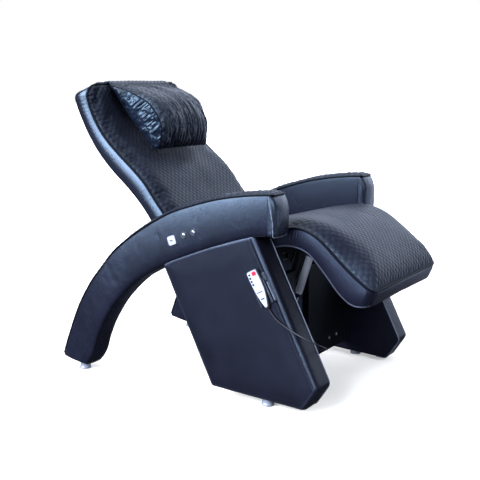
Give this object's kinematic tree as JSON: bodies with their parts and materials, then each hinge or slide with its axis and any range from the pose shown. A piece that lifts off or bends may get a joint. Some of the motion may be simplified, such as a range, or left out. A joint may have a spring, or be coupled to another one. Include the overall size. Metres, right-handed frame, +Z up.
{
  "type": "zero gravity recliner",
  "caption": "Upholstered power recliner: leather arms and side panels around a tilting seat, legrest and back with quilted cushions, head pillow, actuator and handset.",
  "frame": {"origin": "middle of the chair's outline on the floor", "axes": "+Z up; the sitter faces -Y; +X towards the sitter's left arm"},
  "size_m": [0.7937, 1.1831, 1.047],
  "materials": {
    "black_leather": "satin",
    "quilted_leather": "satin",
    "pillow_leather": "gloss",
    "dark_board": "satin",
    "timber": "matte",
    "plywood": "matte",
    "black_steel": "satin",
    "bright_steel": "satin",
    "silver_tube": "satin",
    "chrome": "polished",
    "black_plastic": "matte",
    "white_plastic": "gloss",
    "red_plastic": "gloss",
    "dark_button": "matte",
    "nylon": "satin",
    "cord_rubber": "matte",
    "holster_leather": "satin"
  },
  "bodies": {
    "base": {"arm_covers": "black_leather", "arm_frames": "timber", "arm_top_pads": "quilted_leather", "arm_front_caps": "black_leather", "side_panel_covers": "black_leather", "side_panel_frames": "timber", "pivot_blocks": "timber", "cross_panel": "dark_board", "actuator_cross_tube": "black_steel", "cross_bolts": "bright_steel", "actuator_lower_clevis": "black_steel", "actuator_lower_pin": "bright_steel", "rear_stretcher": "black_steel", "pivot_bolts": "bright_steel", "pivot_sleeves": "bright_steel", "foot_glides": "chrome", "foot_studs": "bright_steel", "power_supply": "black_plastic", "control_box": "black_plastic", "handset_holster": "holster_leather", "handset_cord": "cord_rubber", "control_plate": "white_plastic", "button_bezels": "chrome"},
    "seat_unit": {"seat_cover": "black_leather", "seat_cushion": "quilted_leather", "legrest_cushion": "quilted_leather", "seat_deck": "plywood", "legrest_board": "plywood", "seat_side_rails": "black_steel", "seat_cross_tubes": "black_steel", "rocker_plates": "black_steel", "pivot_bushes": "nylon", "actuator_upper_clevis": "black_steel", "actuator_upper_pin": "bright_steel", "back_cover": "black_leather", "back_cushion": "quilted_leather", "back_board": "plywood", "back_side_rails": "black_steel", "back_cross_tubes": "black_steel", "back_vibration_motors": "black_plastic", "hip_straps": "black_steel", "pillow_flap": "quilted_leather"},
    "actuator_body": {"actuator_gearbox": "black_plastic", "actuator_motor": "black_plastic", "actuator_tube": "silver_tube", "actuator_seal": "black_plastic"},
    "actuator_ram": {"actuator_rod": "chrome", "actuator_rod_end": "bright_steel"},
    "pillow": {"head_pillow": "pillow_leather"},
    "handset": {"handset_body": "black_plastic", "handset_face": "white_plastic"},
    "handset_red": {"handset_power_button": "red_plastic"},
    "handset_key_1": {"handset_button_1": "dark_button"},
    "handset_key_2": {"handset_button_2": "dark_button"},
    "handset_key_3": {"handset_button_3": "dark_button"},
    "handset_key_4": {"handset_button_4": "dark_button"},
    "arm_recline_button": {"recline_button": "chrome"},
    "arm_raise_button": {"raise_button": "chrome"},
    "arm_power_button": {"power_button": "black_plastic"}
  },
  "joints": [
    {"name": "seat_tilt", "type": "hinge", "parent": "base", "child": "seat_unit", "pos_m": [0, 0.002, 0.376], "axis": [1, 0, 0], "range_deg": [-22, 12]},
    {"name": "actuator_swing", "type": "hinge", "parent": "seat_unit", "child": "actuator_body", "pos_m": [-0.068, -0.276, 0.495], "axis": [1, 0, 0], "range_deg": [-14, 14]},
    {"name": "actuator_stroke", "type": "slide", "parent": "actuator_body", "child": "actuator_ram", "axis": [0, 0.3052, -0.9523], "range_m": [-0.055, 0.1]},
    {"name": "pillow_flip", "type": "hinge", "parent": "seat_unit", "child": "pillow", "pos_m": [0, 0.51, 1.0395], "axis": [-1, 0, 0], "range_deg": [0, 35]},
    {"name": "handset_lift", "type": "slide", "parent": "base", "child": "handset", "axis": [0, 0.4566, 0.8897], "range_m": [0, 0.05]},
    {"name": "handset_red_press", "type": "slide", "parent": "handset", "child": "handset_red", "axis": [1, 0, 0], "range_m": [0, 0.001], "stiffness_N_per_m": 300},
    {"name": "handset_key_1_press", "type": "slide", "parent": "handset", "child": "handset_key_1", "axis": [1, 0, 0], "range_m": [0, 0.001], "stiffness_N_per_m": 300},
    {"name": "handset_key_2_press", "type": "slide", "parent": "handset", "child": "handset_key_2", "axis": [1, 0, 0], "range_m": [0, 0.001], "stiffness_N_per_m": 300},
    {"name": "handset_key_3_press", "type": "slide", "parent": "handset", "child": "handset_key_3", "axis": [1, 0, 0], "range_m": [0, 0.001], "stiffness_N_per_m": 300},
    {"name": "handset_key_4_press", "type": "slide", "parent": "handset", "child": "handset_key_4", "axis": [1, 0, 0], "range_m": [0, 0.001], "stiffness_N_per_m": 300},
    {"name": "arm_recline_press", "type": "slide", "parent": "base", "child": "arm_recline_button", "axis": [1, 0, 0], "range_m": [0, 0.002], "stiffness_N_per_m": 300},
    {"name": "arm_raise_press", "type": "slide", "parent": "base", "child": "arm_raise_button", "axis": [1, 0, 0], "range_m": [0, 0.002], "stiffness_N_per_m": 300},
    {"name": "arm_power_press", "type": "slide", "parent": "base", "child": "arm_power_button", "axis": [1, 0, 0], "range_m": [0, 0.0015], "stiffness_N_per_m": 300}
  ],
  "couplings": [
    {"joint": "actuator_swing", "follows": "seat_tilt", "ratio": -0.51453},
    {"joint": "actuator_stroke", "follows": "seat_tilt", "m_per_rad": -0.21847}
  ]
}
